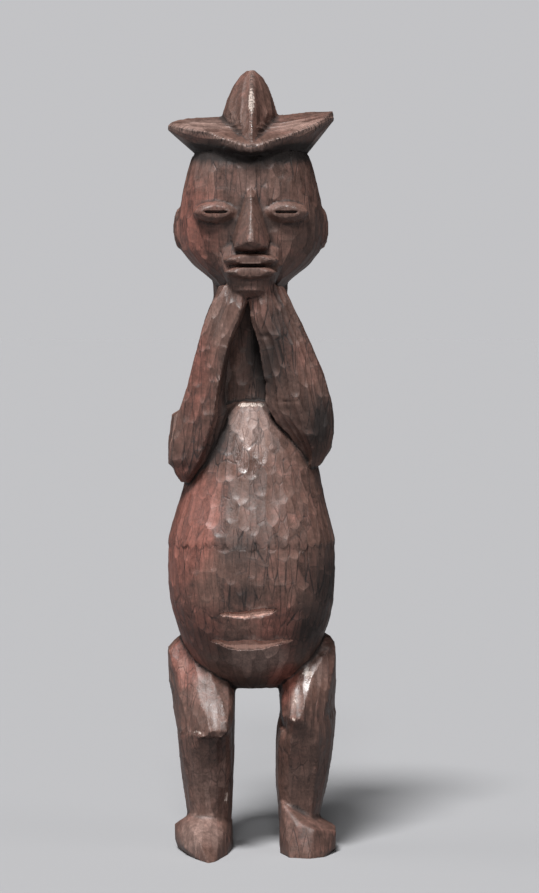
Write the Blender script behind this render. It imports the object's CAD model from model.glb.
"""A standing male figure carved from one block of red-stained wood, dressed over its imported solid.

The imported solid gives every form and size. Its copy is cut up finely, gets the tool marks of the
adze and knife, its splits, nicks and checks, and then the finish of old pigmented wood.
"""
import enum
import logging
import math
from dataclasses import dataclass, field

import bmesh
import bpy
import numpy as np
from mathutils import Euler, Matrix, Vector


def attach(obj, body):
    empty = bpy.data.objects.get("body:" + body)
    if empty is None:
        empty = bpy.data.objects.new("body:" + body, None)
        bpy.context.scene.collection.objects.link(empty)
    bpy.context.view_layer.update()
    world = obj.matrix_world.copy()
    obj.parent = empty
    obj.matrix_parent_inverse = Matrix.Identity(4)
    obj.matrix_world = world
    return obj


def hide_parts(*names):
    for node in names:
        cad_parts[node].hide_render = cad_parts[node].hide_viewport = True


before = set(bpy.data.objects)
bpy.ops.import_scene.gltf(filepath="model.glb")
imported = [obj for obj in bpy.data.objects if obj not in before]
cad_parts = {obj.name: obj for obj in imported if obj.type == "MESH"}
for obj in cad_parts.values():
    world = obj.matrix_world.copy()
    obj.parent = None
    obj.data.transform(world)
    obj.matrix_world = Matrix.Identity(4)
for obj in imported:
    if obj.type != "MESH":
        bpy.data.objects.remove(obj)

LOG = logging.getLogger("carved figure")

MM = 0.001
# The maker's drawing has its own middle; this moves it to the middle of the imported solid
DRAWING_SHIFT = np.array([-1.0, 0.676, 0.0])
FIGURE = "figure"
SKIN = "figure_skin"
TRIANGLE_LIMIT = 194_000

Colour = tuple[float, float, float]
Point = tuple[float, float, float]


class Axis(enum.Enum):
    """The way the strokes run on a form, as the picks (first across, second across, along)."""

    UP = (0, 1, 2)
    SIDEWAYS = (1, 2, 0)


@dataclass(frozen=True)
class Form:
    """One form of the figure and how the carver's strokes lie on it.

    Each level is (along, low, high, low, high): where it is on the axis, then the reach across in
    both directions. Everything is in millimetres of the drawing.
    """

    name: str
    levels: tuple[tuple[float, ...], ...]
    columns: int
    stroke: float
    depth: float = 1.0
    axis: Axis = Axis.UP
    power: float = 2.2
    limits: tuple[float, float] = (-1000.0, 1000.0)
    scallop: float = 0.0
    sway: float = 0.0
    claim: float = 1.0

    def local(self, points: np.ndarray) -> tuple[np.ndarray, np.ndarray]:
        """Gives the place of points relative to the form.

        Args:
            points: n places in millimetres of the drawing.

        Returns:
            The n places as (first across, second across, along), the first two as shares of the
            half reach there, and the mean half reach at each place.
        """
        first, second, along = (points[:, pick] for pick in self.axis.value)
        table = np.array(sorted(self.levels), float).T
        reach = [np.interp(along, table[0], row) for row in table[1:]]
        half_a = np.maximum((reach[1] - reach[0]) / 2, 1.0)
        half_b = np.maximum((reach[3] - reach[2]) / 2, 1.0)
        a = (first - (reach[0] + reach[1]) / 2) / half_a
        b = (second - (reach[2] + reach[3]) / 2) / half_b
        return np.column_stack([a, b, along]), np.sqrt((half_a**2 + half_b**2) / 2)

    def turn(self, place: np.ndarray) -> np.ndarray:
        """Gives how many columns round the form each local place is."""
        return np.arctan2(place[:, 1], place[:, 0]) / (2 * math.pi) * self.columns

    def farness(self, place: np.ndarray) -> np.ndarray:
        """Gives how far out each local place is: 1 on the form's own surface, more outside it."""
        share = (np.abs(place[:, 0]) ** self.power + np.abs(place[:, 1]) ** self.power) ** (
            1 / self.power
        )
        along = place[:, 2]
        outside = np.maximum(self.low_end(place) - along, along - self.limits[1])
        return self.claim * share + np.maximum(outside, 0) / 6

    def low_end(self, place: np.ndarray) -> np.ndarray:
        """Gives how far down the strokes reach at each local place, by the round ends of theirs."""
        turn = self.turn(place)
        column = np.floor(turn)
        round_end = 1 - (2 * (turn - column) - 1) ** 2
        uneven = 0.5 + 0.5 * np.sin(column * 2.4 + 1.3)
        low = self.limits[0] - self.scallop * (round_end + 0.9 * uneven)
        return low + self.sway * np.sin(column * 1.7) * np.sin(column * 0.61 + 0.8)


def mirrored(levels: tuple[tuple[float, ...], ...]) -> tuple[tuple[float, ...], ...]:
    """Gives the levels of the same form on the other side of the figure."""
    return tuple((z, -right, -left, front, back) for z, left, right, front, back in levels)


TORSO = (
    (147, -34, 37, -22, 46), (160, -47, 51, -43, 56), (174, -56, 60, -55, 60),
    (204, -66.5, 69, -71, 59), (245, -74, 75, -78, 56), (264, -74, 75, -77, 55),
    (282, -72.5, 73.5, -74, 53), (320, -62.5, 65, -62, 48), (358, -53, 57, -51, 43),
    (388, -39, 42, -41, 38), (398, -29, 30, -37, 36), (404, -19, 22, -32, 33),
)
BUTTOCK = (
    (150, 16, 48, 8, 56), (158, 7, 57, 5, 68), (172, 3, 61, 0, 75.5), (190, 2, 62, 0, 77),
    (206, 3, 60, 0, 72), (222, 8, 55, 0, 62), (236, 16, 44, 10, 52),
)
SHOULDER = (
    (430, 28, 53, -11, 26), (456, 20, 47, -12, 28), (476, 12, 42, -14, 29),
    (490, 6, 37, -14, 29), (504, 4, 22, -8, 22),
)
ROW_LINE = 281.0

FORMS = (
    Form("belly_upper", TORSO, 50, 23, 1.1, limits=(ROW_LINE, 404), scallop=3.5, sway=1.5),
    Form("belly_lower", TORSO, 54, 25, 1.1, limits=(140, ROW_LINE + 8)),
    Form("buttock_left", mirrored(BUTTOCK), 30, 22, 0.9, limits=(150, 236)),
    Form("buttock_right", BUTTOCK, 30, 22, 0.9, limits=(150, 236)),
    Form(
        "chest",
        ((350, -40, 42, -20, 42), (400, -34, 34, -22, 38), (450, -31, 31, -22, 36),
         (490, -33, 32, -23, 37), (530, -35, 33, -26, 40)),
        26, 26, limits=(350, 515),
    ),
    Form(
        "upper_arm_left",
        ((340, -64, -50, -34, 2), (349, -74, -44, -34, 14), (366, -74.5, -42, -28, 20),
         (392, -71.5, -37, -14, 24), (396, -64, -35, -13, 24)) + mirrored(SHOULDER),
        18, 26, limits=(340, 504),
    ),
    Form(
        "upper_arm_right",
        ((349, 46, 63, -30, 2), (362, 40, 71, -34, 14), (378, 38, 72, -26, 20),
         (400, 34, 67, -15, 24)) + SHOULDER,
        18, 26, limits=(349, 504),
    ),
    Form(
        "forearm_left",
        ((333, -62, -54, -37, -20), (340, -67, -46, -44, -16), (353, -73, -34, -51, -16),
         (371, -70, -26, -54, -20), (393, -65, -21, -56, -26), (415, -57, -23, -57, -28),
         (455, -47, -17, -58, -32), (475, -41, -9, -59, -32), (492, -34, -3.5, -59, -30),
         (507, -28, -3, -56, -28)),
        17, 30, power=3.0, limits=(333, 505),
    ),
    Form(
        "forearm_right",
        ((347, 50, 62, -36, -16), (363, 40, 72, -46, -16), (376, 30, 74, -52, -20),
         (389, 21, 74, -55, -22), (403, 13, 72, -57, -26), (428, 11.5, 65, -58, -30),
         (455, 7, 54, -59, -32), (477, 0, 43, -59, -32), (492, -2, 36, -59, -30),
         (507, -1, 28, -56, -28)),
        18, 28, power=3.0, limits=(347, 505),
    ),
    Form(
        "head",
        ((497, -20, 20, -60, 20), (504, -27, 27, -30, 34), (514, -36, 36, -42, 42),
         (526, -51, 51, -46, 50), (539, -62, 62, -48, 56), (552, -65, 65, -50, 60),
         (570, -65, 65, -51, 62), (590, -61.5, 61.5, -51, 60), (610, -56.5, 56.5, -50, 57),
         (625, -51.5, 51.5, -47, 52)),
        42, 26, limits=(503, 620),
    ),
    Form(
        "leg_left",
        ((12, -58, -18, -24, 24), (32, -58.5, -17, -25, 24), (56, -62, -16.5, -31, 32),
         (80, -65, -15, -39, 40), (107, -67, -15, -50, 44), (110, -67, -15, -60, 44),
         (123, -69.5, -15, -57, 44), (137, -72, -14.5, -47, 46), (150, -75, -14, -40, 47),
         (160, -75.5, -14, -34, 48), (172, -75.5, -18, -26, 48), (180, -75, -20, -20, 47),
         (189, -67, -22, -16, 43), (197, -57, -24, -10, 36)),
        22, 30, 0.8, power=3.0, limits=(26, 197),
    ),
    Form(
        "leg_right",
        ((12, 26, 62, -28, 22), (33, 24.5, 63, -29, 22), (56, 22.5, 69, -33, 32),
         (80, 22, 73.5, -40, 40), (99, 22.5, 75.5, -45, 44), (117, 25, 76.5, -51, 45),
         (120, 25.5, 76.5, -59, 45), (136, 26, 76.5, -54, 46), (149, 24, 77.5, -46.5, 47),
         (156, 24, 77.5, -42, 48), (170, 24, 77.5, -33, 48), (184, 24, 76, -24, 45),
         (190, 24, 72, -18, 42), (197, 24, 60, -12, 36)),
        22, 28, 0.75, power=3.0, limits=(26, 197),
    ),
    Form(
        "foot_left",
        ((0, -69, -17, -78, 36), (8, -69, -17, -74, 36), (22, -69, -17, -52, 34),
         (33, -60, -22, -24, 24)),
        20, 30, 0.3, power=2.0, limits=(0, 34),
    ),
    Form(
        "foot_right",
        ((0, 26, 76, -58, 34), (25, 26, 76, -52, 33), (38, 26, 50, -40, 26),
         (46, 26, 34, -30, 16)),
        20, 34, 0.3, power=2.4, limits=(0, 47),
    ),
    Form(
        "crest",
        ((626, -24, 22, -61, 60), (640, -25, 22.5, -56, 63), (652, -25.5, 23, -48, 62),
         (661, -25.5, 23, -42, 58), (674, -21.5, 19, -33, 48), (687, -15.5, 14.5, -22, 34),
         (695, -10.5, 10, -13, 22), (700, -4, 4.5, -5, 11)),
        16, 34, 0.5, power=1.5, limits=(626, 701), claim=0.8,
    ),
    Form(
        "lobe_left",
        ((-75, -5, 3, 646, 654), (-67, -17, 14, 641, 657), (-53, -34, 28, 630, 659),
         (-39, -46, 40, 626, 660), (-25, -55, 50, 624, 661), (-10, -61, 60, 622, 661)),
        18, 26, 0.6, Axis.SIDEWAYS, 2.0, limits=(-76, 0),
    ),
    Form(
        "lobe_right",
        ((75, -4, 2, 655, 664), (62, -26, 20, 645, 664), (44, -42, 38, 629, 664),
         (31, -51, 46, 626, 662), (18, -58, 54, 623, 661), (10, -61, 60, 622, 661)),
        18, 26, 0.6, Axis.SIDEWAYS, 2.0, limits=(0, 76),
    ),
)


@dataclass(frozen=True)
class Patch:
    """A soft egg-shaped place on the figure, in millimetres of the drawing."""

    centre: Point
    reach: Point
    strength: float = 1.0

    def weight(self, points: np.ndarray) -> np.ndarray:
        """Gives the patch's strength at each point, fading to nothing at its edge."""
        share = np.linalg.norm((points - np.array(self.centre)) / np.array(self.reach), axis=1)
        fade = np.clip(1 - share, 0, 1)
        return self.strength * fade * fade * (3 - 2 * fade)


def gathered(patches: tuple[Patch, ...], points: np.ndarray) -> np.ndarray:
    """Gives the sum of the patches at each point."""
    total = np.zeros(len(points))
    for patch in patches:
        total += patch.weight(points)
    return total


# Where the carving tools worked small and careful, so that the strokes are shallow there
FINE_WORK = (
    Patch((-31, -52, 572), (30, 22, 20), 1.2),
    Patch((31, -52, 572), (30, 22, 20), 1.2),
    Patch((0, -62, 556), (24, 26, 42), 1.2),
    Patch((0, -62, 522), (36, 22, 26), 1.4),
    Patch((-65, 4, 559), (14, 16, 26), 1.0),
    Patch((65, 4, 559), (14, 16, 26), 1.0),
    Patch((-40, -10, 58), (60, 80, 62), 0.75),
    Patch((48, -10, 60), (60, 80, 62), 0.75),
    Patch((-44, -42, 146), (30, 30, 52), 0.9),
    Patch((50, -40, 156), (24, 26, 44), 0.6),
)
# Where one form runs softly into the next: the ankles and the near knee
SOFT_JOINTS = (
    Patch((-38, -22, 32), (44, 30, 15), 2.5),
    Patch((50, -30, 36), (40, 30, 18), 2.5),
    Patch((50, -48, 114), (40, 30, 14), 2.0),
)
# Redder ground, where the stain lies thick
RED_GROUND = (
    Patch((-52, -48, 300), (44, 60, 80), 0.75),
    Patch((-60, -20, 240), (40, 60, 70), 0.5),
    Patch((-52, -30, 560), (44, 50, 70), 0.45),
    Patch((-60, -30, 175), (26, 50, 34), 0.6),
    Patch((28, -28, 160), (20, 40, 40), 1.0),
    Patch((-40, -56, 205), (34, 40, 36), 0.45),
    Patch((30, -56, 205), (34, 40, 36), 0.3),
    Patch((-48, -42, 440), (30, 40, 90), 0.35),
    Patch((18, -62, 212), (40, 40, 40), 0.25),
)
# Smoke and handling, darker than the ground
DARK_GROUND = (
    Patch((-5, -78, 236), (24, 30, 17), 1.0),
    Patch((-10, -80, 276), (40, 30, 30), 0.8),
    Patch((60, -38, 384), (28, 44, 46), 1.5),
    Patch((34, -44, 398), (20, 26, 26), 0.6),
    Patch((66, -34, 252), (40, 60, 40), 0.9),
    Patch((50, -58, 203), (42, 50, 46), 1.0),
    Patch((4, -28, 148), (60, 60, 18), 0.5),
    Patch((-34, -34, 356), (34, 34, 34), 0.5),
    Patch((17, -20, 450), (30, 46, 80), 2.4),
    Patch((-19, -42, 440), (13, 22, 50), 1.2),
    Patch((-24, -38, 398), (15, 24, 44), 1.3),
    Patch((-32, -34, 362), (18, 24, 34), 1.2),
    Patch((60, -30, 225), (44, 60, 60), 0.4),
    Patch((-44, -58, 200), (40, 50, 36), 0.9),
    Patch((0, -48, 622), (36, 24, 14), 2.4),
    *(Patch((x, -40, 625), (34, 30, 14), 2.4) for x in (-32, 32)),
    *(Patch((x, -22, 627), (24, 34, 14), 2.2) for x in (-52, 52)),
    Patch((24, -52, 458), (24, 30, 60), 0.95),
    Patch((14, -46, 425), (16, 26, 40), 0.5),
    Patch((50, -34, 74), (40, 50, 44), 0.45),
    Patch((50, -46, 20), (40, 44, 26), 0.3),
    Patch((44, -44, 118), (24, 30, 16), 0.3),
    Patch((-58, -44, 352), (22, 30, 34), 0.6),
    Patch((-24, -60, 12), (16, 44, 26), 0.7),
    Patch((60, -30, 540), (40, 40, 50), 0.3),
)
# Dusty, rubbed ground, paler and greyer
PALE_GROUND = (
    Patch((0, -40, 384), (46, 40, 44), 0.8),
    Patch((0, -54, 362), (34, 32, 26), 0.6),
    Patch((-60, -20, 172), (15, 24, 22), 0.6),
    Patch((-44, -42, 146), (18, 24, 28), 0.35),
    Patch((-30, -56, 122), (16, 18, 16), 0.5),
    Patch((56, -36, 164), (20, 26, 24), 1.0),
    Patch((41, -48, 142), (12, 18, 24), 1.0),
    Patch((-40, -26, 654), (50, 50, 20), 1.5),
    Patch((36, -36, 654), (46, 44, 20), 1.0),
    Patch((4, -60, 178), (44, 40, 24), 1.8),
    Patch((-38, -34, 62), (44, 60, 66), 0.7),
    Patch((48, -34, 62), (44, 60, 66), 0.25),
    Patch((0, -50, 600), (60, 40, 34), 0.4),
    Patch((-58, -44, 16), (34, 50, 30), 1.1),
    Patch((-34, -40, 12), (30, 50, 30), 0.6),
    Patch((48, -44, 24), (44, 44, 40), 0.2),
    Patch((-30, -50, 474), (20, 24, 34), 0.7),
)
# Rubbed through to bare pale wood in small spots
RUBBED_THROUGH = (
    *(Patch((x, -37, 402.5), (6, 12, 4), 1.8) for x in (-11, -5, 2, 10)),
    Patch((0.5, -36, 672), (4.5, 22, 24), 1.5),
    Patch((50, -38, 164), (9, 14, 9), 1.1),
    Patch((39, -52, 143), (5, 12, 14), 0.9),
    Patch((-22, -24, 48), (4, 12, 12), 1.0),
    Patch((-10, -58, 356), (9, 16, 24), 0.6),
    Patch((2, -62, 340), (13, 16, 10), 0.5),
    Patch((-46, -50, 112), (20, 12, 4), 0.7),
    Patch((36, -60, 124), (12, 12, 4), 0.7),
)
# Polished by hands, so that the edges of the cuts glint
POLISHED = (
    Patch((-3, -54, 358), (32, 30, 30), 1.7),
    Patch((0, -46, 660), (18, 30, 40), 0.9),
    Patch((-40, -30, 650), (40, 40, 22), 0.6),
    Patch((40, -30, 652), (40, 40, 22), 0.6),
    Patch((50, -40, 156), (24, 24, 30), 1.0),
    Patch((-46, -42, 146), (24, 30, 34), 0.15),
)


@dataclass
class Skin:
    """The dense skin of the carving as arrays, in millimetres of the drawing."""

    points: np.ndarray
    normals: np.ndarray
    edges: np.ndarray
    counts: np.ndarray = field(init=False)

    def __post_init__(self) -> None:
        """Counts the neighbours of each point."""
        self.counts = np.bincount(self.edges.ravel(), minlength=len(self.points))
        self.counts = np.maximum(self.counts, 1)

    @classmethod
    def read(cls, mesh: bpy.types.Mesh) -> "Skin":
        """Reads a mesh.

        Args:
            mesh: A mesh in metres in the row frame.

        Returns:
            Its skin in millimetres of the drawing.
        """
        count = len(mesh.vertices)
        flat = np.zeros(count * 3, np.float32)
        mesh.vertices.foreach_get("co", flat)
        points = flat.reshape(-1, 3).astype(float) / MM - DRAWING_SHIFT
        mesh.vertex_normals.foreach_get("vector", flat)
        normals = flat.reshape(-1, 3).astype(float)
        ends = np.zeros(len(mesh.edges) * 2, np.int32)
        mesh.edges.foreach_get("vertices", ends)
        return cls(points, normals, ends.reshape(-1, 2))

    def write(self, mesh: bpy.types.Mesh) -> None:
        """Puts the points back into the mesh they were read from."""
        flat = ((self.points + DRAWING_SHIFT) * MM).astype(np.float32).ravel()
        mesh.vertices.foreach_set("co", flat)
        mesh.update()

    def average(self, values: np.ndarray) -> np.ndarray:
        """Gives the mean of the neighbours' values at each point."""
        first, second = self.edges.T
        if values.ndim == 1:
            total = np.bincount(first, values[second], len(values))
            total += np.bincount(second, values[first], len(values))
            return total / self.counts
        columns = [self.average(values[:, i]) for i in range(values.shape[1])]
        return np.column_stack(columns)

    def ease(self, rounds: int, crisp: float) -> None:
        """Takes off the small angles between flat cuts, and leaves the true edges.

        Args:
            rounds: How many times the points are eased towards their neighbours.
            crisp: The step in millimetres past which a point stands on a true edge.
        """
        for _ in range(rounds):
            step = self.average(self.points) - self.points
            size = np.linalg.norm(step, axis=1)
            share = np.clip((crisp - size) / (0.6 * crisp), 0, 1)
            share = np.minimum(share, self.average(share))
            self.points += step * (0.6 * share)[:, None]

    def soften(self, patches: tuple[Patch, ...], rounds: int) -> None:
        """Rounds the forms off in some places.

        Args:
            patches: The places, with how strongly each is rounded.
            rounds: How many times the points there are eased towards their neighbours.
        """
        share = np.clip(gathered(patches, self.points), 0, 1)[:, None]
        for _ in range(rounds):
            self.points += (self.average(self.points) - self.points) * 0.7 * share

    def hollowness(self, rounds: int) -> np.ndarray:
        """Gives how far in millimetres each point lies below the eased skin round it."""
        eased = self.points.copy()
        for _ in range(rounds):
            eased += 0.7 * (self.average(eased) - eased)
        return np.einsum("ij,ij->i", eased - self.points, self.normals)


@dataclass(frozen=True)
class StrokePlan:
    """Which form each point belongs to and where it lies among the strokes there."""

    forms: tuple[Form, ...] = FORMS

    def lay_out(self, skin: Skin) -> dict[str, np.ndarray]:
        """Plans the strokes over a skin.

        Args:
            skin: The skin that is to be carved or coloured.

        Returns:
            The named values at each point: the place among the strokes, the strokes' size, their
            seed and depth, and the seams where one form meets another.
        """
        count = len(skin.points)
        best = np.full(count, np.inf)
        owner = np.zeros(count, int)
        place = np.zeros((count, 3))
        size = np.zeros((count, 3))
        more = np.zeros((count, 3))
        for index, form in enumerate(self.forms):
            local, radius = form.local(skin.points)
            farness = form.farness(local)
            nearer = farness < best - 1e-6
            best[nearer] = farness[nearer]
            owner[nearer] = index
            place[nearer] = local[nearer]
            width = 2 * math.pi * radius / form.columns
            own = np.column_stack([
                np.full(count, float(form.columns)), width, np.full(count, float(form.stroke)),
            ])
            size[nearer] = own[nearer]
            more[nearer] = (index + 1.0, form.depth, 0.0)
        fine = np.clip(1 - gathered(FINE_WORK, skin.points), 0.12, 1)
        more[:, 1] *= fine
        first, second = skin.edges.T
        crossing = (owner[first] != owner[second]).astype(float)
        seam = np.bincount(first, crossing, count) + np.bincount(second, crossing, count)
        seam = np.clip(seam, 0, 1)
        return {"stroke_place": place, "stroke_size": size, "stroke_more": more, "seam": seam}


def store(mesh: bpy.types.Mesh, values: dict[str, np.ndarray]) -> None:
    """Keeps named values on the points of a mesh.

    Args:
        mesh: The mesh that gets them.
        values: One array for each name, with one number or three at each point.
    """
    for name, array in values.items():
        kind = "FLOAT" if array.ndim == 1 else "FLOAT_VECTOR"
        layer = mesh.attributes.get(name) or mesh.attributes.new(name, kind, "POINT")
        key = "value" if array.ndim == 1 else "vector"
        layer.data.foreach_set(key, array.astype(np.float32).ravel())


class TreeKind(enum.Enum):
    """The two kinds of node tree that the strokes are worked out in, with their group nodes."""

    SHAPE = ("GeometryNodeTree", "GeometryNodeGroup")
    FINISH = ("ShaderNodeTree", "ShaderNodeGroup")


class Wire:
    """A number on its way through a node tree, so that a formula in code becomes nodes."""

    def __init__(self, tree: bpy.types.NodeTree, socket: bpy.types.NodeSocket) -> None:
        """Takes the tree and the socket that the number comes out of."""
        self.tree = tree
        self.socket = socket

    def math(self, operation: str, *others: "Wire | float", swap: bool = False) -> "Wire":
        """Lays one Math node.

        Args:
            operation: The name of the node's operation.
            others: The further numbers, wires or plain.
            swap: Whether this wire is the second number.

        Returns:
            The wire that comes out of the node.
        """
        node = self.tree.nodes.new("ShaderNodeMath")
        node.operation = operation
        values = [*others, self] if swap else [self, *others]
        for socket, value in zip(node.inputs, values):
            feed(self.tree, socket, value)
        return Wire(self.tree, node.outputs[0])

    def __add__(self, other: "Wire | float") -> "Wire":
        """Adds."""
        return self.math("ADD", other)

    __radd__ = __add__

    def __sub__(self, other: "Wire | float") -> "Wire":
        """Subtracts."""
        return self.math("SUBTRACT", other)

    def __rsub__(self, other: "Wire | float") -> "Wire":
        """Subtracts this from a plain number."""
        return self.math("SUBTRACT", other, swap=True)

    def __mul__(self, other: "Wire | float") -> "Wire":
        """Multiplies."""
        return self.math("MULTIPLY", other)

    __rmul__ = __mul__

    def __truediv__(self, other: "Wire | float") -> "Wire":
        """Divides."""
        return self.math("DIVIDE", other)

    def __rtruediv__(self, other: "Wire | float") -> "Wire":
        """Divides a plain number by this."""
        return self.math("DIVIDE", other, swap=True)

    def ramp(self, low: "Wire | float", high: "Wire | float") -> "Wire":
        """Gives a smooth rise from 0 at low to 1 at high."""
        node = self.tree.nodes.new("ShaderNodeMapRange")
        node.interpolation_type = "SMOOTHSTEP"
        feed(self.tree, node.inputs["Value"], self)
        feed(self.tree, node.inputs["From Min"], low)
        feed(self.tree, node.inputs["From Max"], high)
        return Wire(self.tree, node.outputs["Result"])

    def blend(self, off: "Wire | float", on: "Wire | float") -> "Wire":
        """Gives off where this is 0 and on where it is 1."""
        node = self.tree.nodes.new("ShaderNodeMix")
        feed(self.tree, node.inputs[0], self)
        feed(self.tree, node.inputs[2], off)
        feed(self.tree, node.inputs[3], on)
        return Wire(self.tree, node.outputs[0])


def feed(
    tree: bpy.types.NodeTree,
    socket: bpy.types.NodeSocket,
    value: "Wire | bpy.types.NodeSocket | float | tuple[float, ...]",
) -> None:
    """Links a wire or a socket to an input, or sets a plain value on it."""
    if isinstance(value, Wire):
        tree.links.new(value.socket, socket)
    elif isinstance(value, bpy.types.NodeSocket):
        tree.links.new(value, socket)
    else:
        socket.default_value = value


class Group:
    """A node group in the making, with named inputs and outputs."""

    def __init__(
        self, name: str, kind: TreeKind, inputs: dict[str, tuple[str, object]],
        outputs: dict[str, str],
    ) -> None:
        """Makes the empty group.

        Args:
            name: The group's name.
            kind: Which kind of tree it is for.
            inputs: For each input its socket type and its value at the start, or None.
            outputs: For each output its socket type.
        """
        self.tree = bpy.data.node_groups.new(name, kind.value[0])
        for title, (sort, value) in inputs.items():
            socket = self.tree.interface.new_socket(title, in_out="INPUT", socket_type=sort)
            if value is not None:
                socket.default_value = value
        for title, sort in outputs.items():
            self.tree.interface.new_socket(title, in_out="OUTPUT", socket_type=sort)
        self.entry = self.tree.nodes.new("NodeGroupInput")
        self.exit = self.tree.nodes.new("NodeGroupOutput")

    def wire(self, name: str) -> Wire:
        """Gives the wire of a named input."""
        return Wire(self.tree, self.entry.outputs[name])

    def node(self, sort: str, **inputs: object) -> bpy.types.Node:
        """Lays a node and feeds its named inputs, an underscore standing for a space."""
        made = self.tree.nodes.new(sort)
        for name, value in inputs.items():
            feed(self.tree, made.inputs[name.replace("_", " ")], value)
        return made

    def give(self, **outputs: object) -> None:
        """Feeds the group's named outputs."""
        for name, value in outputs.items():
            feed(self.tree, self.exit.inputs[name.replace("_", " ")], value)


NUMBER = "NodeSocketFloat"
VECTOR = "NodeSocketVector"
COLOUR = "NodeSocketColor"


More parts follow.
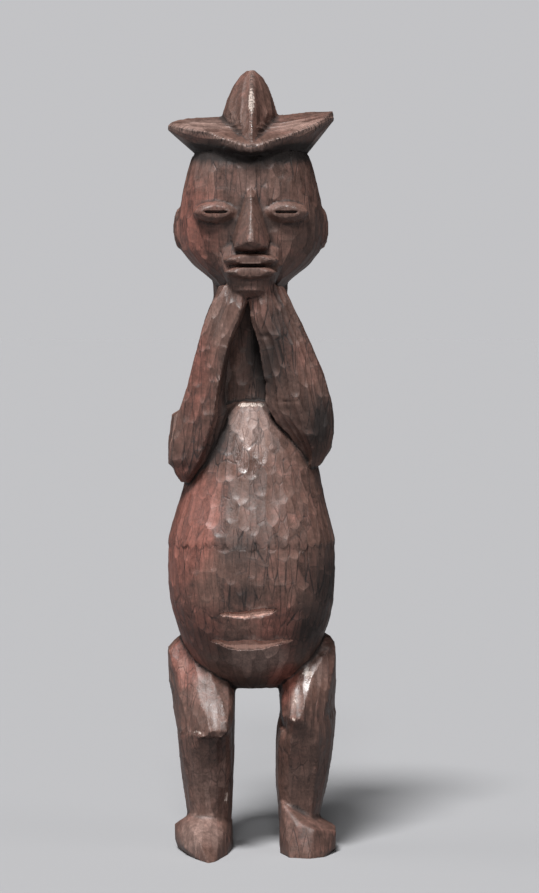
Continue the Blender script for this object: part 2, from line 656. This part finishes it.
@dataclass(frozen=True)
class AdzeStrokes:
    """The carver's strokes: shallow scoops in columns, each cut from its round start outward.

    The same formula is laid in the tree that shapes the wood and in the one that colours it, so
    the dark lines between the strokes fall on the ridges. Lengths are in millimetres.
    """

    gouge: float = 0.0065
    start: float = 0.02
    run: float = 0.0009
    tilt: float = 0.11
    pitch: float = 0.02
    dip: float = 0.15
    wander: float = 0.55
    stagger: float = 0.5

    def one_cut(self, kind: TreeKind) -> bpy.types.NodeTree:
        """Makes the group for the surface that one stroke leaves.

        Args:
            kind: Which kind of tree it is for.

        Returns:
            The group, which gives the height of the scoop over the plain form and its tone.
        """
        group = Group(
            f"one cut {kind.name.lower()}", kind,
            {name: (NUMBER, 0.0) for name in (
                "Across", "Along", "Column step", "Row step", "Columns", "Width", "Length", "Seed",
            )},
            {"Height": NUMBER, "Tone": NUMBER},
        )
        across, along, width = group.wire("Across"), group.wire("Along"), group.wire("Width")
        columns, seed = group.wire("Columns"), group.wire("Seed")
        column = across.math("FLOOR") + group.wire("Column step")
        around = column.math("FLOORED_MODULO", columns)
        phase_at = group.node("ShaderNodeCombineXYZ", X=around, Y=seed, Z=7.7)
        phase = group.node("ShaderNodeTexWhiteNoise", Vector=phase_at.outputs[0])
        shifted = along + Wire(group.tree, phase.outputs["Value"])
        row = shifted.math("FLOOR") + group.wire("Row step")
        at = group.node("ShaderNodeCombineXYZ", X=around, Y=row, Z=seed)
        chance = group.node("ShaderNodeTexWhiteNoise", Vector=at.outputs[0])
        parts = group.node("ShaderNodeSeparateXYZ", Vector=chance.outputs["Color"])
        red, green, blue = (Wire(group.tree, parts.outputs[i]) for i in range(3))
        value = Wire(group.tree, chance.outputs["Value"])
        off_across = (across - column - 0.5 - (red - 0.5) * self.wander) * width
        off_along = (shifted - row - 0.3 - (green - 0.5) * self.stagger) * group.wire("Length")
        flat = math.pi / (width * columns)
        steep = off_along.math("LESS_THAN", 0.0).blend(self.run, self.start)
        height = (
            (flat + self.gouge) * off_across * off_across
            + steep * off_along * off_along
            + (blue - 0.5) * self.tilt * off_across
            + (red - green) * self.pitch * off_along
            - value * self.dip
        )
        group.give(Height=height, Tone=value)
        return group.tree

    def pattern(self, kind: TreeKind) -> bpy.types.NodeTree:
        """Makes the group for all strokes: the lowest of the near scoops is what is left.

        Args:
            kind: Which kind of tree it is for.

        Returns:
            The group, which gives the height over the plain form, the gap up to the next scoop,
            which is 0 on a ridge, and the tone of the stroke.
        """
        group = Group(
            f"adze strokes {kind.name.lower()}", kind,
            {"Place": (VECTOR, None), "Size": (VECTOR, None), "Seed": (NUMBER, 1.0)},
            {"Height": NUMBER, "Gap": NUMBER, "Tone": NUMBER},
        )
        place = group.node("ShaderNodeSeparateXYZ", Vector=group.entry.outputs["Place"])
        size = group.node("ShaderNodeSeparateXYZ", Vector=group.entry.outputs["Size"])
        first, second, run = (Wire(group.tree, place.outputs[i]) for i in range(3))
        columns, width, length = (Wire(group.tree, size.outputs[i]) for i in range(3))
        across = second.math("ARCTAN2", first) / (2 * math.pi) * columns
        along = run / length
        cut = self.one_cut(kind)
        lowest: Wire | None = None
        for column_step in (-1.0, 0.0, 1.0):
            for row_step in (-1.0, 0.0, 1.0):
                node = group.tree.nodes.new(kind.value[1])
                node.node_tree = cut
                for name, value in {
                    "Across": across, "Along": along, "Column step": column_step,
                    "Row step": row_step, "Columns": columns, "Width": width,
                    "Length": length, "Seed": group.wire("Seed"),
                }.items():
                    feed(group.tree, node.inputs[name], value)
                height = Wire(group.tree, node.outputs["Height"])
                shade = Wire(group.tree, node.outputs["Tone"])
                if lowest is None:
                    lowest, next_up, tone = height, height + 5.0, shade
                    continue
                tone = height.math("LESS_THAN", lowest).blend(tone, shade)
                next_up = next_up.math("MINIMUM", lowest.math("MAXIMUM", height))
                lowest = lowest.math("MINIMUM", height)
        group.give(Height=lowest, Gap=next_up - lowest, Tone=tone)
        return group.tree

    def carving_tree(self) -> bpy.types.NodeTree:
        """Makes the Geometry Nodes tree that cuts the strokes into a skin."""
        group = Group(
            "adze work", TreeKind.SHAPE,
            {
                "Geometry": ("NodeSocketGeometry", None),
                "Depth": (NUMBER, 1.0),
                "Wood": ("NodeSocketMaterial", None),
            },
            {"Geometry": "NodeSocketGeometry"},
        )
        read = {}
        for name in ("stroke_place", "stroke_size", "stroke_more"):
            node = group.tree.nodes.new("GeometryNodeInputNamedAttribute")
            node.data_type = "FLOAT_VECTOR"
            node.inputs["Name"].default_value = name
            read[name] = node.outputs["Attribute"]
        more = group.node("ShaderNodeSeparateXYZ", Vector=read["stroke_more"])
        strokes = group.tree.nodes.new("GeometryNodeGroup")
        strokes.node_tree = self.pattern(TreeKind.SHAPE)
        feed(group.tree, strokes.inputs["Place"], read["stroke_place"])
        feed(group.tree, strokes.inputs["Size"], read["stroke_size"])
        feed(group.tree, strokes.inputs["Seed"], more.outputs[0])
        depth = Wire(group.tree, more.outputs[1]) * group.wire("Depth")
        rise = Wire(group.tree, strokes.outputs["Height"]) * depth * MM
        normal = group.tree.nodes.new("GeometryNodeInputNormal")
        push = group.tree.nodes.new("ShaderNodeVectorMath")
        push.operation = "SCALE"
        feed(group.tree, push.inputs[0], normal.outputs[0])
        feed(group.tree, push.inputs["Scale"], rise)
        moved = group.node(
            "GeometryNodeSetPosition", Geometry=group.entry.outputs["Geometry"],
            Offset=push.outputs[0],
        )
        real = group.node("GeometryNodeRealizeInstances", Geometry=moved.outputs[0])
        finished = group.node(
            "GeometryNodeSetMaterial", Geometry=real.outputs[0],
            Material=group.entry.outputs["Wood"],
        )
        group.give(Geometry=finished.outputs[0])
        return group.tree


@dataclass(frozen=True)
class PigmentedWood:
    """Old carved wood stained red, rubbed pale on the ridges and dark in the hollows."""

    red: Colour = (0.215, 0.082, 0.062)
    brown: Colour = (0.118, 0.066, 0.052)
    pale: Colour = (0.250, 0.166, 0.141)
    soot: Colour = (0.012, 0.008, 0.007)
    bare: Colour = (0.780, 0.460, 0.370)
    flaked: Colour = (0.560, 0.455, 0.400)
    roughness: float = 0.47

    def grain(self) -> bpy.types.NodeTree:
        """Makes the group for the upright grain of the log: fine streaks and a slow cloud."""
        group = Group(
            "upright grain", TreeKind.FINISH,
            {"Place": (VECTOR, None), "Fineness": (NUMBER, 1.0)},
            {name: NUMBER for name in ("Streak", "Cloud", "Mottle", "Speck", "Check")},
        )
        stretched = group.tree.nodes.new("ShaderNodeMapping")
        feed(group.tree, stretched.inputs["Vector"], group.entry.outputs["Place"])
        stretched.inputs["Scale"].default_value = (1.0, 1.0, 0.07)
        streak = group.node(
            "ShaderNodeTexNoise", Vector=stretched.outputs[0],
            Scale=group.wire("Fineness") * 900.0, Detail=4.0, Roughness=0.6,
        )
        cloud = group.node(
            "ShaderNodeTexNoise", Vector=group.entry.outputs["Place"], Scale=26.0, Detail=5.0,
            Roughness=0.62,
        )
        mottle = group.node(
            "ShaderNodeTexNoise", Vector=group.entry.outputs["Place"], Scale=150.0, Detail=4.0,
            Roughness=0.65,
        )
        speck = group.node(
            "ShaderNodeTexNoise", Vector=group.entry.outputs["Place"],
            Scale=group.wire("Fineness") * 420.0, Detail=3.0, Roughness=0.7,
        )
        tall = group.tree.nodes.new("ShaderNodeMapping")
        feed(group.tree, tall.inputs["Vector"], group.entry.outputs["Place"])
        tall.inputs["Scale"].default_value = (1.0, 1.0, 0.1)
        cells = group.node("ShaderNodeTexVoronoi", Vector=tall.outputs[0], Scale=125.0)
        cells.feature = "DISTANCE_TO_EDGE"
        check = 1.0 - Wire(group.tree, cells.outputs["Distance"]).ramp(0.0, 0.06)
        open_here = Wire(group.tree, mottle.outputs[0]) + Wire(group.tree, cloud.outputs[0])
        group.give(
            Streak=streak.outputs[0], Cloud=cloud.outputs[0], Mottle=mottle.outputs[0],
            Speck=speck.outputs[0], Check=check * open_here.ramp(0.86, 1.12),
        )
        return group.tree

    def material(self, strokes: AdzeStrokes) -> bpy.types.Material:
        """Makes the material.

        Args:
            strokes: The strokes whose lines and tones the finish follows.

        Returns:
            The material, which reads the values that the carving keeps on its points.
        """
        made = bpy.data.materials.new("red_stained_wood")
        made.use_nodes = True
        tree = made.node_tree
        nodes = tree.nodes
        nodes.clear()
        surface = nodes.new("ShaderNodeBsdfPrincipled")
        exit_node = nodes.new("ShaderNodeOutputMaterial")
        tree.links.new(surface.outputs[0], exit_node.inputs["Surface"])

        def kept(name: str, output: str = "Fac") -> bpy.types.NodeSocket:
            """Reads a value that is kept on the points."""
            node = nodes.new("ShaderNodeAttribute")
            node.attribute_name = name
            return node.outputs[output]

        def mixed(share: Wire, off: object, on: object) -> bpy.types.NodeSocket:
            """Mixes two colours."""
            node = nodes.new("ShaderNodeMix")
            node.data_type = "RGBA"
            feed(tree, node.inputs[0], share)
            for socket, value in ((node.inputs[6], off), (node.inputs[7], on)):
                feed(tree, socket, (*value, 1.0) if isinstance(value, tuple) else value)
            return node.outputs[2]

        place = nodes.new("ShaderNodeTexCoord").outputs["Object"]
        more = nodes.new("ShaderNodeSeparateXYZ")
        tree.links.new(kept("stroke_more", "Vector"), more.inputs[0])
        cuts = nodes.new("ShaderNodeGroup")
        cuts.node_tree = strokes.pattern(TreeKind.FINISH)
        feed(tree, cuts.inputs["Place"], kept("stroke_place", "Vector"))
        feed(tree, cuts.inputs["Size"], kept("stroke_size", "Vector"))
        feed(tree, cuts.inputs["Seed"], more.outputs[0])
        grain = nodes.new("ShaderNodeGroup")
        grain.node_tree = self.grain()
        feed(tree, grain.inputs["Place"], place)

        depth = Wire(tree, more.outputs[1])
        gap, tone = Wire(tree, cuts.outputs["Gap"]), Wire(tree, cuts.outputs["Tone"])
        streak, cloud, mottle, speck, check = (
            Wire(tree, grain.outputs[name])
            for name in ("Streak", "Cloud", "Mottle", "Speck", "Check")
        )
        red_ground, dark_ground, pale_ground, bare, edge, hollow, seam = (
            Wire(tree, kept(name)) for name in (
                "red_ground", "dark_ground", "pale_ground", "bare", "edge", "hollow", "seam",
            )
        )
        worn, rubbed_through, polish, rim_run, upright = (
            Wire(tree, kept(name))
            for name in ("worn", "rubbed_through", "polish", "rim_run", "upright")
        )
        check = check * upright
        hatching = nodes.new("ShaderNodeTexNoise")
        hatching.noise_dimensions = "1D"
        hatching.inputs["Scale"].default_value = 0.55
        hatching.inputs["Detail"].default_value = 2.0
        feed(tree, hatching.inputs["W"], rim_run)
        hatch = Wire(tree, hatching.outputs[0]).ramp(0.52, 0.66) * worn.ramp(0.25, 0.8)
        broken = (cloud * 1.5 + mottle * 1.2 - 0.95).ramp(0.15, 0.8)
        line = (1.0 - gap.ramp(0.0, 0.08)) * (0.3 + 0.7 * broken) * depth.ramp(0.1, 0.7)
        soft_line = (1.0 - gap.ramp(0.0, 0.4)) * (0.3 + 0.7 * broken)
        ground = mixed(
            (red_ground + cloud * 0.7 + mottle * 0.5 - 0.52).ramp(0.0, 0.6), self.brown, self.red
        )
        ground = mixed(
            (pale_ground * 0.9 + (cloud - 0.5) * 0.9 + (mottle - 0.5) * 0.5
             + (tone - 0.5) * 0.45).ramp(0.15, 1.1) * 0.8,
            ground, self.pale,
        )
        rubbed = (edge.ramp(0.25, 0.9) + worn * 1.1).math("MINIMUM", 1.0) * (0.2 + 1.0 * speck)
        ground = mixed(rubbed * 0.7, ground, self.pale)
        flaked = (rubbed_through + (speck - 0.5) * 1.6 + (streak - 0.5) * 0.8).ramp(0.45, 0.75)
        flaked = flaked * rubbed_through.ramp(0.0, 0.25)
        ground = mixed(flaked, ground, self.flaked)
        shade = (
            (tone - 0.5) * 0.75 * depth.ramp(0.1, 0.8) + (streak - 0.5) * 1.1
            + (speck - 0.5) * 0.9 + (mottle - 0.5) * 1.3 + 1.0
        ).math("MAXIMUM", 0.2)
        toned = nodes.new("ShaderNodeVectorMath")
        toned.operation = "SCALE"
        feed(tree, toned.inputs[0], ground)
        feed(tree, toned.inputs["Scale"], shade)
        dirt = (
            line * 0.55 + soft_line * 0.2 + check * 0.6 + seam * 0.12 + hatch * 0.6
            + hollow.ramp(0.4, 2.2) * 0.7 + dark_ground * (0.4 + 0.6 * cloud)
        ).math("MINIMUM", 0.95)
        dirtied = mixed(dirt, toned.outputs[0], self.soot)
        opened = mixed(bare * (0.5 + 0.8 * streak), dirtied, self.bare)
        feed(tree, surface.inputs["Base Color"], opened)
        rough = (self.roughness + (streak - 0.5) * 0.35 + (cloud - 0.5) * 0.35
                 + (mottle - 0.5) * 0.3 + dirt * 0.25 + bare * 0.3 - rubbed * 0.05
                 - polish * 0.22)
        feed(tree, surface.inputs["Roughness"], rough)
        bump = nodes.new("ShaderNodeBump")
        bump.inputs["Strength"].default_value = 0.85
        bump.inputs["Distance"].default_value = MM
        feed(
            tree, bump.inputs["Height"],
            Wire(tree, cuts.outputs["Height"]) * depth * (1.1 - 1.1 * seam) + streak * 0.2
            + speck * 0.18 + mottle * 0.15 - line * 0.1 - check * 0.3 - hatch * 0.5
            - flaked * 0.05,
        )
        feed(tree, surface.inputs["Normal"], bump.outputs[0])
        return made


@dataclass(frozen=True)
class Nick:
    """A small cut or chip pressed into the wood, in millimetres of the drawing."""

    centre: Point
    reach: Point
    depth: float


# Chips on the forearm, cracks on the belly and at the knee, and the nicks of a blade on a knee
NICKS = (
    Nick((12, -50, 463), (6, 20, 3.5), 1.6),
    Nick((13, -47, 422), (4, 20, 3.5), 1.2),
    Nick((30, -54, 405), (12, 20, 2.0), 0.9),
    Nick((1, -62, 353), (1.6, 20, 14), 1.0),
    Nick((-7, -76, 286), (1.6, 20, 8), 0.8),
    Nick((29, -38, 112), (3.5, 20, 9), 2.2),
    *(Nick((-54 + 4.2 * i, -50, 112 - 2 * (i % 2)), (1.7, 16, 6), 1.3) for i in range(6)),
)


@dataclass(frozen=True)
class Split:
    """A split across the belly: torn upright above, a raw slope below, all in millimetres."""

    left: tuple[float, float]
    right: tuple[float, float]
    drop: float
    depth: float
    tear: float

    def sink(self, points: np.ndarray) -> np.ndarray:
        """Gives how deep the split is at each point, 0 outside it."""
        x, z = points[:, 0], points[:, 2]
        share = (x - self.left[0]) / (self.right[0] - self.left[0])
        arch = np.clip(1 - (2 * share - 1) ** 2, 0, 1) ** 0.55
        top = self.left[1] + (self.right[1] - self.left[1]) * share
        torn = np.sin(x * 0.21 + self.tear) + 0.4 * np.sin(x * 0.57 + 2 * self.tear)
        top = top + 0.6 * torn
        low = self.drop * arch * (1 + 0.2 * np.sin(x * 0.11 + self.tear))
        down = (top - z) / np.maximum(low, 0.1)
        inside = (share > 0) & (share < 1) & (down > 0) & (down < 1) & (points[:, 1] < -30)
        ledge = 1 - 0.07 * np.sin(x * 0.4 + z * 0.9 + self.tear)
        return np.where(inside, self.depth * arch * (1 - down) * ledge, 0.0)


SPLITS = (
    Split((-28, 219.5), (23, 225), 6.5, 3.6, 0.4),
    Split((-36, 195), (37, 195.5), 8.0, 5.6, 2.3),
)

# The worn lines of the carving: rims of the lobes, the crest's ridge and the belly's top ledge
RIM_LEFT = ((0, -63, 628), (-10, -61, 630.5), (-25, -55, 636), (-39, -46, 642.5), (-53, -34, 646),
            (-67, -17, 648.5), (-74.5, -3, 651))
RIM_RIGHT = ((0, -63, 628), (10, -61, 630.5), (18, -58, 634), (31, -51, 639), (44, -42, 644),
             (57, -30, 649), (74, -4, 658))
CREST_RIDGE = ((0.6, -61, 628), (0.6, -56, 640), (0.6, -48, 652), (0.6, -42, 661), (0.6, -33, 674),
               (0.6, -22, 687), (0.6, -13, 695), (0.6, -4, 700))
LEDGE = ((-12, -30, 403), (0, -33, 404), (12, -32, 404), (20, -28, 403))


def along_path(path: tuple[Point, ...], points: np.ndarray) -> tuple[np.ndarray, np.ndarray]:
    """Measures points against a line through some places.

    Args:
        path: The places the line runs through.
        points: n places.

    Returns:
        How far each of the n points is from the line, and how far along the line that is.
    """
    best, run_there = np.full(len(points), np.inf), np.zeros(len(points))
    passed = 0.0
    for start, end in zip(path, path[1:]):
        a, run = np.array(start), np.array(end) - np.array(start)
        length = float(np.linalg.norm(run))
        share = np.clip((points - a) @ run / (run @ run), 0, 1)
        far = np.linalg.norm(points - a - share[:, None] * run, axis=1)
        run_there = np.where(far < best, passed + share * length, run_there)
        best = np.minimum(best, far)
        passed += length
    return best, run_there


@dataclass
class CarvedFigure:
    """The whole figure, carved from one block."""

    voxel: float = 1.2
    ease_rounds: int = 12
    crisp: float = 0.16
    sharp_angle: float = 32.0
    strokes: AdzeStrokes = field(default_factory=AdzeStrokes)
    finish: PigmentedWood = field(default_factory=PigmentedWood)
    plan: StrokePlan = field(default_factory=StrokePlan)
    nicks: tuple[Nick, ...] = NICKS

    def build(self, solid: bpy.types.Object) -> bpy.types.Object:
        """Carves the figure.

        Args:
            solid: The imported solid, which is only copied.

        Returns:
            The finished piece, riding on the root and standing for the solid.
        """
        wood = self.finish.material(self.strokes)
        piece = self.rough_out(solid)
        skin = Skin.read(piece.data)
        skin.ease(self.ease_rounds, self.crisp)
        skin.soften(SOFT_JOINTS, 24)
        self.set_row_line(skin)
        self.open_splits(skin)
        skin.write(piece.data)
        LOG.info("roughed out: %d points", len(piece.data.vertices))
        skin = Skin.read(piece.data)
        store(piece.data, self.plan.lay_out(skin))
        self.cut_strokes(piece, wood)
        self.press_nicks(piece.data)
        self.thin(piece)
        self.clear_crumbs(piece.data)
        self.dress(piece.data, wood)
        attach(piece, "root")
        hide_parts(FIGURE)
        LOG.info("%s: %d triangles", piece.name, triangles(piece.data))
        return piece

    def rough_out(self, solid: bpy.types.Object) -> bpy.types.Object:
        """Copies the solid and divides its skin into small even faces."""
        mesh = solid.data.copy()
        mesh.name = SKIN
        mesh.materials.clear()
        piece = bpy.data.objects.new(SKIN, mesh)
        bpy.context.scene.collection.objects.link(piece)
        weld = piece.modifiers.new("weld", "WELD")
        weld.merge_threshold = 0.01 * MM
        remesh = piece.modifiers.new("even faces", "REMESH")
        remesh.mode = "VOXEL"
        remesh.voxel_size = self.voxel * MM
        apply_modifiers(piece)
        return piece

    def front_of_belly(self, points: np.ndarray) -> np.ndarray:
        """Gives how far forward the whole belly's skin lies in front of each point."""
        table = np.array(TORSO, float).T
        left, right, front, back = (np.interp(points[:, 2], table[0], row) for row in table[1:])
        across = np.abs((points[:, 0] - (left + right) / 2) / ((right - left) / 2))
        bulge = np.clip(1 - across**2.25, 0, 1) ** (1 / 2.25)
        return (front + back) / 2 - (back - front) / 2 * bulge

    def set_row_line(self, skin: Skin) -> None:
        """Stands the belly a little prouder where the strokes from above and below meet."""
        upper = FORMS[0]
        above = skin.points[:, 2] - upper.low_end(upper.local(skin.points)[0])
        rise = np.interp(above, [-26, -1.6, 1.0, 50], [0.0, 0.7, 1.6, 0.0])
        front = np.clip((30 - skin.points[:, 1]) / 20, 0, 1)
        faint = np.interp(np.abs(skin.points[:, 0]), [12, 56], [0.35, 1.0])
        skin.points += skin.normals * (rise * front * faint)[:, None]

    def open_splits(self, skin: Skin) -> None:
        """Opens the splits to their torn edges and slopes."""
        front = self.front_of_belly(skin.points)
        for split in SPLITS:
            sink = split.sink(skin.points)
            skin.points[:, 1] = np.where(
                sink > 0, np.maximum(skin.points[:, 1], front + sink), skin.points[:, 1]
            )

    def cut_strokes(self, piece: bpy.types.Object, wood: bpy.types.Material) -> None:
        """Cuts the strokes into the skin with the Geometry Nodes tree."""
        tree = self.strokes.carving_tree()
        work = piece.modifiers.new("adze work", "NODES")
        work.node_group = tree
        sockets = {
            item.name: item.identifier
            for item in tree.interface.items_tree if item.in_out == "INPUT"
        }
        work[sockets["Depth"]] = 1.0
        work[sockets["Wood"]] = wood
        apply_modifiers(piece)

    def press_nicks(self, mesh: bpy.types.Mesh) -> None:
        """Presses the small nicks and chips into the skin."""
        skin = Skin.read(mesh)
        for nick in self.nicks:
            away = (skin.points - np.array(nick.centre)) / np.array(nick.reach)
            share = np.linalg.norm(away, axis=1)
            sink = nick.depth * np.clip(1 - share, 0, 1)
            skin.points -= skin.normals * sink[:, None]
        skin.write(mesh)

    def thin(self, piece: bpy.types.Object) -> None:
        """Joins faces that lie flat together until the piece is within its limit."""
        count = triangles(piece.data)
        if count > TRIANGLE_LIMIT:
            decimate = piece.modifiers.new("thin", "DECIMATE")
            decimate.ratio = TRIANGLE_LIMIT / count
            apply_modifiers(piece)

    def clear_crumbs(self, mesh: bpy.types.Mesh) -> None:
        """Removes faces that the thinning cut loose, and keeps the one whole skin."""
        work = bmesh.new()
        work.from_mesh(mesh)
        work.verts.ensure_lookup_table()
        island = [-1] * len(work.verts)
        sizes: list[int] = []
        for start in work.verts:
            if island[start.index] >= 0:
                continue
            front, count = [start], 0
            island[start.index] = len(sizes)
            while front:
                point = front.pop()
                count += 1
                for edge in point.link_edges:
                    near = edge.other_vert(point)
                    if island[near.index] < 0:
                        island[near.index] = len(sizes)
                        front.append(near)
            sizes.append(count)
        whole = sizes.index(max(sizes))
        crumbs = [point for point in work.verts if island[point.index] != whole]
        bmesh.ops.delete(work, geom=crumbs, context="VERTS")
        work.to_mesh(mesh)
        work.free()
        LOG.info("crumbs cleared: %d points", len(crumbs))

    def dress(self, mesh: bpy.types.Mesh, wood: bpy.types.Material) -> None:
        """Gives the skin its kept values, its crisp edges and its finish."""
        skin = Skin.read(mesh)
        values = self.plan.lay_out(skin)
        points = skin.points
        fine = skin.hollowness(4)
        broad = skin.hollowness(60)
        values["edge"] = np.clip(-fine, 0, 1.5)
        worn, rim_run = np.zeros(len(points)), np.zeros(len(points))
        for path, reach in ((RIM_LEFT, 4.0), (RIM_RIGHT, 4.0), (CREST_RIDGE, 2.4), (LEDGE, 3.0)):
            far, run = along_path(path, points)
            rim_run = np.where(far < 2 * reach, run, rim_run)
            worn = np.maximum(worn, np.clip(1.3 - far / reach, 0, 1))
        values["upright"] = np.clip(1.1 - 4 * skin.normals[:, 2] ** 2, 0, 1)
        values["worn"] = worn
        values["rim_run"] = rim_run
        values["hollow"] = np.clip(broad, 0, 3)
        values["red_ground"] = np.clip(gathered(RED_GROUND, points), 0, 1)
        values["dark_ground"] = np.clip(gathered(DARK_GROUND, points), 0, 1.5)
        values["pale_ground"] = np.clip(gathered(PALE_GROUND, points), 0, 1)
        values["rubbed_through"] = np.clip(gathered(RUBBED_THROUGH, points), 0, 1)
        values["polish"] = np.clip(gathered(POLISHED, points), 0, 1)
        values["bare"] = self.bare_wood(points)
        store(mesh, values)
        mesh.materials.clear()
        mesh.materials.append(wood)
        mesh.shade_smooth()
        mesh.set_sharp_from_angle(angle=math.radians(self.sharp_angle))

    def bare_wood(self, points: np.ndarray) -> np.ndarray:
        """Gives 1 on the raw wood inside the belly's splits, 0 elsewhere."""
        sunk = points[:, 1] - self.front_of_belly(points)
        raw = np.zeros(len(points))
        for split in SPLITS:
            wider = Split(
                split.left, split.right, split.drop + 1.5, split.depth, split.tear
            ).sink(points + np.array([0, 0, -0.6]))
            raw = np.maximum(raw, np.clip(2 * wider, 0, 1) * np.clip(2 * sunk - 0.3, 0, 1))
        return raw


def triangles(mesh: bpy.types.Mesh) -> int:
    """Counts the triangles of a mesh."""
    return sum(len(face.vertices) - 2 for face in mesh.polygons)


def apply_modifiers(piece: bpy.types.Object) -> None:
    """Makes the result of an object's modifiers its plain mesh."""
    bpy.context.view_layer.update()
    graph = bpy.context.evaluated_depsgraph_get()
    seen = piece.evaluated_get(graph)
    made = bpy.data.meshes.new_from_object(seen, preserve_all_data_layers=True, depsgraph=graph)
    old = piece.data
    made.name = old.name
    piece.modifiers.clear()
    piece.data = made
    bpy.data.meshes.remove(old)
    made.name = SKIN


@dataclass(frozen=True)
class SoftLight:
    """A wide soft studio light from far off, by where it stands in degrees."""

    name: str
    azimuth: float
    height: float
    spread: float
    strength: float
    colour: Colour = (1.0, 1.0, 1.0)

    def place(self) -> None:
        """Hangs the light."""
        lamp = bpy.data.lights.new(self.name, "SUN")
        lamp.angle = math.radians(self.spread)
        lamp.energy = self.strength
        lamp.color = self.colour
        hung = bpy.data.objects.new(self.name, lamp)
        bpy.context.scene.collection.objects.link(hung)
        turn, rise = math.radians(self.azimuth), math.radians(self.height)
        away = Vector((
            math.sin(turn) * math.cos(rise), -math.cos(turn) * math.cos(rise), math.sin(rise),
        ))
        hung.location = away * 3.0
        hung.rotation_euler = away.to_track_quat("Z", "Y").to_euler()


@dataclass
class Studio:
    """The plain pale floor, the soft light and the camera."""

    floor_half: float = 60.0
    floor_colour: Colour = (0.35, 0.35, 0.36)
    bounce: float = 0.55
    ambient: Colour = (0.010, 0.010, 0.011)
    lens: float = 116.5
    sensor: float = 36.0
    camera_at: Point = (-0.001, -2.5993, 0.480)
    camera_tilt: float = 2.57
    camera_pan: float = 0.367
    lights: tuple[SoftLight, ...] = (
        SoftLight("key", -20, 60, 14, 4.6),
        SoftLight("front", -2, 38, 10, 0.8),
        SoftLight("low", 0, 12, 30, 0.12),
        SoftLight("right", 62, 38, 25, 0.22),
        SoftLight("left", -92, 25, 35, 0.5),
    )

    def build(self) -> None:
        """Sets up the whole studio."""
        self.lay_floor()
        self.tone_world()
        self.set_camera()
        for light in self.lights:
            light.place()

    def lay_floor(self) -> None:
        """Lays the floor under the feet."""
        half = self.floor_half
        mesh = bpy.data.meshes.new("floor")
        corners = [(-half, -half, 0), (half, -half, 0), (half, half, 0), (-half, half, 0)]
        mesh.from_pydata(corners, [], [(0, 1, 2, 3)])
        floor = bpy.data.objects.new("floor", mesh)
        bpy.context.scene.collection.objects.link(floor)
        paper = bpy.data.materials.new("pale_floor")
        paper.use_nodes = True
        nodes, links = paper.node_tree.nodes, paper.node_tree.links
        surface = nodes["Principled BSDF"]
        surface.inputs["Roughness"].default_value = 1.0
        surface.inputs["Specular IOR Level"].default_value = 0.0
        path = nodes.new("ShaderNodeLightPath")
        mix = nodes.new("ShaderNodeMix")
        mix.data_type = "RGBA"
        links.new(path.outputs["Is Camera Ray"], mix.inputs[0])
        mix.inputs[6].default_value = (*(x * self.bounce for x in self.floor_colour), 1.0)
        mix.inputs[7].default_value = (*self.floor_colour, 1.0)
        links.new(mix.outputs[2], surface.inputs["Base Color"])
        mesh.materials.append(paper)

    def floor_tone(self) -> Colour:
        """Gives the tone that the open floor has under the lights, for the space behind it."""
        fall = sum(light.strength * math.sin(math.radians(light.height)) for light in self.lights)
        return tuple(
            colour * (fall / math.pi + soft) for colour, soft in zip(self.floor_colour, self.ambient)
        )

    def tone_world(self) -> None:
        """Gives the space round the figure a plain pale tone and a low soft light."""
        scene = bpy.context.scene
        world = bpy.data.worlds.new("studio")
        scene.world = world
        world.use_nodes = True
        nodes, links = world.node_tree.nodes, world.node_tree.links
        nodes.clear()
        seen = nodes.new("ShaderNodeBackground")
        seen.inputs["Color"].default_value = (*self.floor_tone(), 1.0)
        soft = nodes.new("ShaderNodeBackground")
        soft.inputs["Color"].default_value = (*self.ambient, 1.0)
        path = nodes.new("ShaderNodeLightPath")
        mix = nodes.new("ShaderNodeMixShader")
        links.new(path.outputs["Is Camera Ray"], mix.inputs[0])
        links.new(soft.outputs[0], mix.inputs[1])
        links.new(seen.outputs[0], mix.inputs[2])
        exit_node = nodes.new("ShaderNodeOutputWorld")
        links.new(mix.outputs[0], exit_node.inputs["Surface"])
        scene.view_settings.view_transform = "Standard"

    def set_camera(self) -> None:
        """Puts the camera where the photograph was taken from."""
        eye = bpy.data.cameras.new("camera")
        eye.lens = self.lens
        eye.sensor_width = self.sensor
        eye.clip_end = 100.0
        held = bpy.data.objects.new("camera", eye)
        bpy.context.scene.collection.objects.link(held)
        held.location = self.camera_at
        held.rotation_euler = Euler(
            (math.radians(90 - self.camera_tilt), 0, math.radians(-self.camera_pan))
        )
        bpy.context.scene.camera = held


def main() -> None:
    """Builds the studio and the figure, and notes their sizes."""
    logging.basicConfig(level=logging.INFO, format="%(name)s: %(message)s")
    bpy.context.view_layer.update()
    Studio().build()
    LOG.info("studio ready")
    CarvedFigure().build(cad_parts[FIGURE])


if __name__ == "__main__":
    main()
